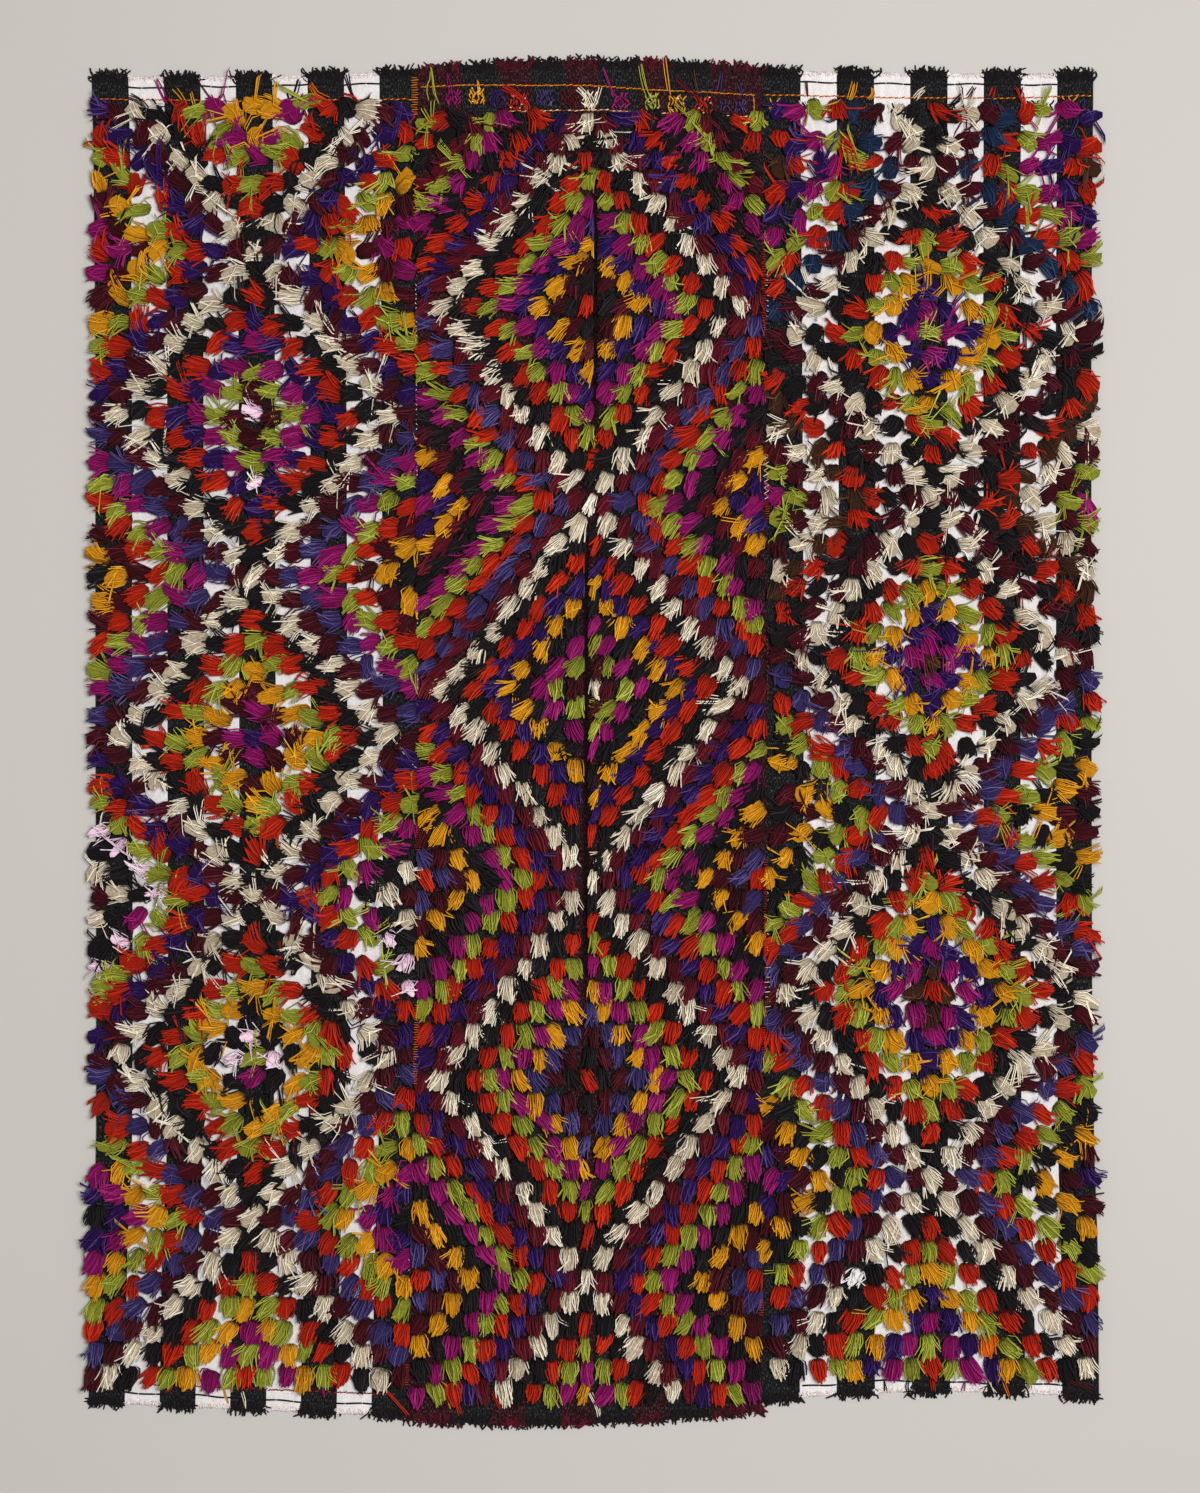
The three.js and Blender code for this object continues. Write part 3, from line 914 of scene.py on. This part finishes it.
# All of one panel's tufts of one dye, as one mesh.
def tuftPiece(panel, dye, knots, rng):
    wool, shape = wools[dye], tuftShape
    tuft = tuftsOf(panel, dye, knots, rng)
    lines = heldIn(panel, yarnLines(tuft, wool, rng), tuft["x"])
    count, yarns, stations, _ = lines.shape
    blunt = shape["blunt"] * (1 - wool["frayed"] * grown("fraying", tuft["wild"]))
    lines[:, :, -2] += (lines[:, :, -1] - lines[:, :, -2]) * blunt
    widths = wool["yarn"] / 2 * np.array(shape["thick"])
    widths = widths * rng.normal(1, tuftErrors["thick"], (count, yarns, 1))
    # Tones vary at random from tuft to tuft and yarn to yarn, and drop towards the root as painted shade.
    tones = rng.normal(shape["tone"], tuftErrors["tuftTone"], (count, 1, 1))
    tones = tones + rng.normal(0, tuftErrors["yarnTone"], (count, yarns, 1)) + np.array(shape["shadedTone"])
    points, triangles, tone, ply = yarnTubes(
        lines.reshape(-1, stations, 3), widths.reshape(-1, stations), tones.reshape(-1, stations))

    petals = heldIn(panel, petalPoints(tuft, wool), tuft["x"])
    deep, beside = petals.shape[1:3]
    one = []
    for i in range(deep - 1):
        for a in range(i * beside, (i + 1) * beside - 1):
            one += [(a, a + beside + 1, a + 1), (a, a + beside, a + beside + 1)]
    faces = len(points) + deep * beside * np.arange(count).reshape(-1, 1, 1) + np.array(one)
    petals = petals.reshape(-1, 3)
    # The petals take the low tone deep: painted shade under the top yarns.
    return addPiece(
        f"{panel.split('_')[0]}_{dye}_tufts",
        np.concatenate([points, petals]),
        np.concatenate([triangles, faces.reshape(-1, 3)]),
        woolMaterials[dye],
        panel,
        tone=np.concatenate([tone, np.full(len(petals), wool["deep"])]),
        ply=np.concatenate([ply, np.zeros((len(petals), 3))]),
    )


tufts = {}
for panel in pile:
    rng = np.random.default_rng(pile[panel]["seed"])
    knots = knotsOf(panel, rng)
    tufts[panel] = [tuftPiece(panel, dye, knots, rng) for dye in sorted(set(knots["dye"]))]
    faces = sum(len(piece.data.polygons) for piece in tufts[panel])
    print(f"{panel}: {len(knots['x'])} tufts, {faces} triangles")

# Sewing and loose yarn. A stroke is a short line of points with its dye and thickness, and all the
# strokes of one dye on one panel make one mesh.
strokeFinish = {
    "seed": 7,
    "stations": (0, 0.06, 0.28, 0.5, 0.72, 0.93, 1),
    "thick": (0, 1, 1, 1, 1, 0.9, 0),
    "points": 31,               # along it while its corners are rounded
    "roundings": 4,
    "onCloth": 3.7,             # height of a yarn's middle where it lies on the heading
    "tone": (0.52, 0.1),        # and how unevenly it comes out
}
strokes = {}


# How far along a line each of its points lies.
def lengthsTo(points):
    steps = np.linalg.norm(np.diff(points, axis=0), axis=1)
    return np.concatenate([[0], np.cumsum(steps)])


def stroke(panel, dye, points, thick, height=strokeFinish["onCloth"], rise=0.0):
    points = np.asarray(points, float)
    along = lengthsTo(points)
    fine = np.linspace(0, 1, strokeFinish["points"])
    way = np.stack([np.interp(fine, along / along[-1], places) for places in points.T], 1)
    for _ in range(strokeFinish["roundings"]):
        way[1:-1] = (way[:-2] + 2 * way[1:-1] + way[2:]) / 4
    at = np.array(strokeFinish["stations"])
    flat = [np.interp(at, fine, places) for places in way.T]
    line = np.stack([*flat, height + rise * np.sin(math.pi * at)], 1)
    strokes.setdefault((panel, dye), []).append((line, thick / 2))


# Cut warps along both ends of every panel. Each dark band ends in a deep curly fringe, each pale one
# in a shallow netted one. A pair is for dark bands and for pale ones.
cutWarps = {
    "apart": 0.62,
    "widthAt": 900,             # where along the rug its width is taken
    "margin": 0.001,
    "root": (15, 7),            # how far inside the cut end they are drawn, at most
    "rootFrom": 0.2,            # and at least, as a share of that
    "past": (9, 2.8),           # how far they reach past it
    "least": -0.6,              # and the least and the most of that
    "most": 1.1,
    "held": 0.5,                # how much less the deeply rooted ones reach
    "knee": 0.4,                # where along it a warp curls
    "swing": (8, 3.6),          # how far it curls aside
    "swinging": 0.6,            # and how unevenly, beside that
    "thick": (2.7, 1.3),
    "thinnest": 0.7,
    "thickest": 1.2,
    "height": 2.6,
    "rise": 3,
    "dyes": {"black": ("black", "black", "black"), "wine": ("maroon", "black", "crimson"),
             "pale": ("white", "pink", "cream")},
}


def fuzzyEnds(panel, rng):
    ground, warps = grounds[panel], cutWarps
    edges = ground["edges"]
    width = outlineAt(edges[1], warps["widthAt"]) - outlineAt(edges[0], warps["widthAt"])
    count = int(width / warps["apart"])
    for end, outward in ((ground["top"], 1), (ground["bottom"], -1)):
        for share in np.sort(rng.uniform(warps["margin"], 1 - warps["margin"], count)):
            pale = int(np.searchsorted(ground["bands"], share, side="right") - 1) % 2
            colour = ground["pale" if pale else "dark"]
            y = bow(end, share) - outward * pale * ground["paleCut"]
            left, right = (outlineAt(edge, y) for edge in edges)
            x = left + (right - left) * share
            keys = ("root", "past", "swing", "thick")
            root, past, swing, thick = (warps[key][colour == "pale"] for key in keys)
            reach = outward * past * rng.uniform(warps["least"], warps["most"])
            root = outward * root * rng.uniform(warps["rootFrom"], 1)
            reach = reach - root * warps["held"] * rng.uniform(0, 1)
            first, second = swing * rng.normal(0, warps["swinging"], 2)
            knee = y - root * warps["knee"] + reach * warps["knee"]
            points = [(x, y - root), (x + first, knee), (x + first + second, y + reach)]
            dye = warps["dyes"][colour][int(rng.integers(0, 3))]
            thick = thick * rng.uniform(warps["thinnest"], warps["thickest"])
            stroke(panel, dye, points, thick, warps["height"], rng.uniform(0, warps["rise"]))


# Twined lines: two yarns turned about each other, so each shows as a row of slanted stitches.
twining = {
    "stitch": 4.4,
    "half": 0.55,               # half the length of a stitch, beside the pitch
    "thick": 2.1,
    "slant": 0.28,
    "errors": (0.3, 0.4),       # how unevenly the stitches lie
    "rise": 0.6,
}
twinedLines = [
    ("left_panel", ("yellow", "red"), ((-699, 896), (-479, 893), (-254, 896))),
    ("right_panel", ("yellow", "red"), ((238, 902), (424, 898), (563, 897), (693, 901))),
    ("centre_panel", ("orange", "yellow"),
     ((-243, 913), (-174, 915.5), (-7, 915), (77, 909), (146, 906), (224, 901.5))),
    ("centre_panel", ("orange", "cream"), ((-121, 879), (7, 881), (77, 876.5), (132, 875), (218, 871))),
    ("centre_panel", ("orange", "yellow"), ((221, 900), (222, 873))),
    ("left_panel", ("red", "maroon"), ((-618, -894), (-278, -908))),
]


def twinedLine(panel, dyes, points, rng):
    points = np.array(points, float)
    along = lengthsTo(points)

    def reached(place):
        return np.array([np.interp(place, along, places) for places in points.T])

    for number, place in enumerate(np.arange(twining["stitch"] / 2, along[-1], twining["stitch"])):
        middle = reached(place) + rng.normal(0, twining["errors"])
        ahead = reached(place + 1) - reached(place - 1)
        ahead /= np.linalg.norm(ahead)
        aside = np.array([-ahead[1], ahead[0]])
        half = twining["stitch"] * twining["half"] * (ahead + twining["slant"] * aside)
        ends = [middle - half, middle + half]
        stroke(panel, dyes[number % 2], ends, twining["thick"], rise=twining["rise"])


# One dark weft that shows across the pale bands near each end of the outer panels.
darkWefts = {
    "thick": 3.0,
    "stretch": 24,              # the length of one stroke of it, and how far it laps over the next
    "lap": 1,
    "wander": 0.7,
    "wave": 9,
    "rise": 0.4,
    "ways": {
        "left_panel": (((-655, 913), (-604, 911), (-556, 914), (-497, 913), (-452, 914), (-397, 917),
                        (-351, 916), (-303, 918)),
                       ((-660, -904), (-613, -908), (-561, -908), (-511, -912), (-456, -915), (-410, -918),
                        (-313, -921))),
        "right_panel": (((285, 920), (336, 919), (392, 918), (442, 917), (493, 917), (545, 917), (595, 916),
                         (640, 916)),
                        ((288, -896), (336, -894), (390, -888), (447, -889), (501, -890), (553, -893),
                         (603, -892), (649, -895))),
    },
}


def darkWeft(panel, way, rng):
    weft = darkWefts
    across, up = np.array(way, float).T
    for x in np.arange(across[0], across[-1], weft["stretch"]):
        places = np.linspace(x, x + weft["stretch"] + weft["lap"], 5)
        heights = np.interp(places, across, up) + weft["wander"] * np.sin(places / weft["wave"])
        points = np.stack([places, heights], 1)
        stroke(panel, "black", points, weft["thick"], rise=rng.uniform(0, weft["rise"]))


# Long loose ends of pile yarn that lie over the headings: their dye, how many lie together, and their way.
looseEnds = {
    "thick": 1.9,
    "apart": 2.2,
    "splay": 1.2,               # how much further apart they are where they start
    "drift": 0.9,
    "shorter": 0.12,            # how much shorter or longer than their way
    "longer": 0.04,
    "above": 1,                 # how far above sewing on the cloth
    "rise": (1, 4),
    "rows": {
        "left_panel": [
            ("magenta", 3, ((-596, 890), (-604, 907), (-611, 924))),
            ("yellow", 3, ((-588, 911), (-574, 896), (-562, 870))),
            ("yellow", 2, ((-562, 906), (-558, 890), (-554, 876))),
            ("crimson", 2, ((-552, 921), (-537, 901), (-525, 884))),
            ("crimson", 2, ((-518, 905), (-524, 894), (-530, 884))),
            ("black", 4, ((-649, 901), (-632, 892), (-616, 870))),
            ("black", 3, ((-412, 923), (-417, 905), (-427, 877))),
            ("black", 2, ((-429, 904), (-424, 892), (-420, 878))),
            ("black", 3, ((-347, 932), (-340, 906), (-329, 880))),
            ("yellow", 4, ((-481, 898), (-455, 893), (-438, 884), (-424, 862))),
            ("yellow", 3, ((-462, 902), (-440, 894), (-425, 872))),
            ("orange", 4, ((-397, 918), (-387, 902), (-370, 894))),
            ("yellow", 2, ((-692, 894), (-691, 867))),
            ("red", 2, ((-685, 893), (-683, 866))),
            ("red", 3, ((-352, 902), (-335, 897), (-322, 878))),
            ("yellow", 2, ((-518, -893), (-512, -908), (-509, -922))),
            ("cream", 2, ((-491, -903), (-488, -915), (-486, -928))),
            ("magenta", 2, ((-380, -890), (-376, -914))),
            ("red", 2, ((-294, -898), (-272, -922), (-259, -938))),
            ("red", 3, ((-594, -884), (-590, -898), (-598, -906))),
        ],
        "right_panel": [
            ("crimson", 2, ((296, 899), (294, 924))),
            ("yellow", 4, ((354, 894), (360, 908), (362, 922))),
            ("cream", 4, ((446, 896), (453, 905), (461, 913))),
            ("maroon", 3, ((519, 899), (525, 907), (529, 914))),
            ("maroon", 3, ((588, 895), (594, 913))),
            ("red", 4, ((551, 897), (556, 913))),
            ("yellow", 3, ((382, 895), (388, 904), (386, 912))),
            ("black", 2, ((403, -887), (405, -905))),
            ("black", 2, ((436, -886), (434, -897), (438, -905))),
            ("magenta", 2, ((515, -888), (512, -904))),
            ("orange", 2, ((566, -876), (571, -895), (577, -912))),
            ("cream", 2, ((548, -884), (551, -896), (558, -906))),
            ("red", 3, ((470, -884), (472, -904))),
            ("maroon", 3, ((660, -890), (682, -893), (696, -900))),
        ],
        "centre_panel": [
            ("green", 1, ((-231, 893), (-236, 910), (-230, 924), (-229, 944))),
            ("green", 2, ((-229, 942), (-225, 922), (-224, 904), (-217, 888))),
            ("magenta", 2, ((-200, 902), (-203, 918), (-206, 933))),
            ("yellow", 2, ((-161, 902), (-164, 924))),
            ("red", 4, ((-130, 914), (-111, 905), (-93, 886), (-90, 866))),
            ("cream", 4, ((-23, 913), (-12, 900), (-3, 878))),
            ("cream", 2, ((8, 914), (4, 896), (-6, 876))),
            ("magenta", 2, ((11, 941), (17, 921), (25, 902))),
            ("green", 3, ((63, 946), (67, 921), (74, 900), (84, 884))),
            ("yellow", 2, ((96, 955), (99, 932), (104, 901))),
            ("crimson", 3, ((112, 925), (128, 908), (145, 899))),
            ("brown", 2, ((135, 938), (139, 921), (142, 903))),
            ("lavender", 2, ((177, 932), (172, 904))),
            ("lavender", 2, ((199, 918), (205, 900))),
            ("yellow", 2, ((-207, -906), (-200, -930))),
            ("red", 3, ((-197, -906), (-192, -922), (-187, -938))),
            ("red", 4, ((-140, -902), (-134, -918), (-128, -930))),
            ("purple", 2, ((-50, -905), (-43, -930))),
            ("cream", 3, ((-8, -903), (4, -925), (7, -942))),
            ("red", 3, ((42, -898), (50, -912), (60, -916))),
            ("yellow", 2, ((146, -903), (155, -920))),
            ("magenta", 3, ((196, -902), (204, -915), (212, -926))),
        ],
    },
}


def looseEnd(panel, dye, count, way, rng):
    ends = looseEnds
    way = np.array(way, float)
    ahead = way[-1] - way[0]
    aside = np.array([-ahead[1], ahead[0]]) / np.linalg.norm(ahead)
    for number in range(count):
        shift = (number - (count - 1) / 2) * ends["apart"] * np.linspace(ends["splay"], 1, len(way))
        drifting = way + aside * shift[:, None] + rng.normal(0, ends["drift"], way.shape)
        drifting[-1] += ahead * rng.uniform(-ends["shorter"], ends["longer"])
        height = strokeFinish["onCloth"] + ends["above"] + number % 2
        stroke(panel, dye, drifting, ends["thick"], height, rng.uniform(*ends["rise"]))


# Flat knots woven into the headings: short stitches that lean to and fro. Each row of the table is one
# knot: its dyes, its middle, and how wide and tall it is.
flatKnots = {
    "stitch": 7.5,
    "half": 0.52,               # half the length of a stitch, beside the pitch
    "thick": 2.7,
    "apart": 1.5,               # from one stitch to the next beside it, in thicknesses
    "lean": 0.45,
    "leanError": 0.25,
    "loose": 1.0,               # how unevenly the stitches lie
    "bulge": 1.5,
    "uneven": 2,                # how much higher some stitches lie
    "rise": 1.6,
    "dots": 5,                  # pale dots sewn on a dotted knot
    "dotHalf": 1.2,
    "dotThick": 2.2,
    "dotHeight": 3.4,
    "dotted": ("green", "yellow", "red"),
    "rows": {
        "centre_panel": [
            (("magenta",), -197, 898, 20, 20),
            (("yellow",), -164, 900, 24, 22),
            (("purple",), -136, 897, 20, 24),
            (("red",), -106, 892, 26, 24),
            (("lavender",), -70, 897, 24, 22),
            (("crimson",), -38, 897, 22, 22),
            (("cream",), -8, 896, 22, 24),
            (("magenta",), 36, 893, 24, 24),
            (("green",), 80, 893, 20, 22),
            (("yellow",), 114, 889, 24, 24),
            (("red",), 151, 888, 24, 24),
            (("lavender",), 181, 888, 14, 18),
            (("lavender",), 203, 886, 18, 18),
        ],
        "right_panel": [
            (("cream", "black"), 295, 886, 20, 14),
            (("cream", "black"), 419, 884, 20, 13),
            (("cream", "black"), 504, 886, 18, 11),
            (("cream", "black"), 616, 886, 42, 15),
            (("yellow", "black"), 662, 888, 24, 26),
            (("yellow", "purple"), 252, 886, 18, 20),
        ],
        "left_panel": [
            (("cream", "black"), -622, 877, 16, 12),
            (("cream", "black"), -404, 882, 18, 16),
            (("cream", "black"), -648, -884, 20, 12),
        ],
    },
}


def flatKnot(panel, dyes, x, y, wide, tall, rng):
    knot = flatKnots
    across = max(2, round(wide / (knot["thick"] * knot["apart"])))
    down = max(1, round(tall / knot["stitch"]))
    for j in range(down):
        for i in range(across):
            at = np.array([x - wide / 2 + wide * (i + 0.5) / across, y + tall / 2 - tall * (j + 0.5) / down])
            lean = knot["lean"] * (1 if j % 2 else -1) * (1 if i < across / 2 else -1)
            half = knot["stitch"] * knot["half"] * np.array([lean + rng.normal(0, knot["leanError"]), 1])
            at += rng.normal(0, knot["loose"], 2)
            bulge = at + (rng.normal(0, knot["bulge"]), 0)
            height = strokeFinish["onCloth"] + rng.uniform(0, knot["uneven"])
            way = [at - half, bulge, at + half]
            stroke(panel, dyes[i % len(dyes)], way, knot["thick"], height, knot["rise"])
    if dyes[0] in knot["dotted"] and len(dyes) == 1:
        for _ in range(knot["dots"]):
            at = np.array([x, y]) + rng.uniform(-0.5, 0.5, 2) * (wide, tall)
            half = np.array([knot["dotHalf"], 0])
            height = strokeFinish["onCloth"] + knot["dotHeight"]
            stroke(panel, "cream", [at - half, at + half], knot["dotThick"], height)


# Stitches along the two seams. Each stretch: where it runs, its dyes, how far apart its stitches are,
# how long each is, how far beside the seam, and how much it leans.
seamStitches = {
    "thick": 1.3,
    "height": 13,
    "rise": 1,
    "drift": 0.4,
    "shortest": 0.85,
    "longest": 1.1,
    "stretches": {
        "leftSeam": [
            (924, 872, ("orange", "yellow"), 3.4, 10, 0, 0.1),
            (775, 740, ("yellow", "orange"), 4.2, 10, 1, 0.6),
            (636, 553, ("white",), 6.4, 2.6, 0, 1.5),
            (497, 421, ("white",), 6.8, 2.6, 0, 1.5),
            (390, 365, ("white",), 6.0, 2.6, 0, 1.5),
            (198, 143, ("white",), 6.4, 2.6, 0, 1.5),
            (122, 52, ("white",), 11.5, 2.6, 0, 1.5),
            (-118, -150, ("red",), 3.4, 9, 0, 0.1),
            (-205, -358, ("crimson",), 6.2, 3.2, 0, 1.5),
            (-365, -476, ("orange",), 3.4, 8, 0, 0.1),
            (-719, -750, ("white",), 14, 2.6, 0, 1.5),
            (-865, -893, ("red",), 3.4, 8, 0, 0.1),
        ],
        "rightSeam": [
            (706, 553, ("red",), 3.4, 7, -1.5, 0.2),
            (650, 588, ("white", "black"), 3.6, 3.4, 3.5, 0.2),
            (400, 337, ("yellow", "white"), 4.0, 9, 0, 0.6),
            (335, 309, ("red",), 3.4, 8, 1, 0.1),
            (143, 59, ("red",), 6.2, 3.4, 0, 1.5),
            (-163, -305, ("red",), 3.4, 6, -1, 0.2),
            (-190, -290, ("white", "yellow"), 9.5, 2.8, 2.5, 1.5),
            (-309, -372, ("brown", "cream"), 3.4, 9, 3, 0.1),
            (-372, -441, ("red",), 3.4, 6, -1, 0.2),
            (-775, -796, ("red",), 3.4, 8, 0, 0.1),
        ],
    },
}


def seamStretch(seam, first, last, dyes, apart, long, beside, lean, rng):
    stitch = seamStitches
    for number, y in enumerate(np.arange(first, last, -apart)):
        middle = np.array([outlineAt(seam, y) + beside + rng.normal(0, stitch["drift"]), y])
        half = np.array([1, lean * (1 if number % 2 else -1)])
        half *= long / 2 / np.linalg.norm(half) * rng.uniform(stitch["shortest"], stitch["longest"])
        dye = dyes[number % len(dyes)]
        ends = [middle - half, middle + half]
        stroke("centre_panel", dye, ends, stitch["thick"], stitch["height"], stitch["rise"])


rng = np.random.default_rng(strokeFinish["seed"])
for panel in grounds:
    fuzzyEnds(panel, rng)
for line in twinedLines:
    twinedLine(*line, rng)
for panel, ways in darkWefts["ways"].items():
    for way in ways:
        darkWeft(panel, way, rng)
sewn = (
    (looseEnd, looseEnds["rows"]),
    (flatKnot, flatKnots["rows"]),
    (seamStretch, seamStitches["stretches"]),
)
for draw, table in sewn:
    for place, rows in table.items():
        for row in rows:
            draw(place, *row, rng)

sewing = {panel: [] for panel in grounds}
for (panel, dye), drawn in strokes.items():
    lines = np.array([line for line, _ in drawn])
    widths = np.array([radius for _, radius in drawn])[:, None] * np.array(strokeFinish["thick"])
    tones = np.broadcast_to(rng.normal(*strokeFinish["tone"], (len(drawn), 1)), widths.shape)
    points, triangles, tone, ply = yarnTubes(lines, widths, tones)
    name = f"{panel.split('_')[0]}_{dye}_sewing"
    sewing[panel].append(addPiece(name, points, triangles, woolMaterials[dye], panel, tone=tone, ply=ply))
faces = sum(len(piece.data.polygons) for pieces in sewing.values() for piece in pieces)
print(f"sewing and loose yarn: {sum(map(len, strokes.values()))} strokes, {faces} triangles")

# Each ground is a sheet of cloth, lying on the floor, with its pile and sewing on it.
print("the grounds, pile and sewing are made")
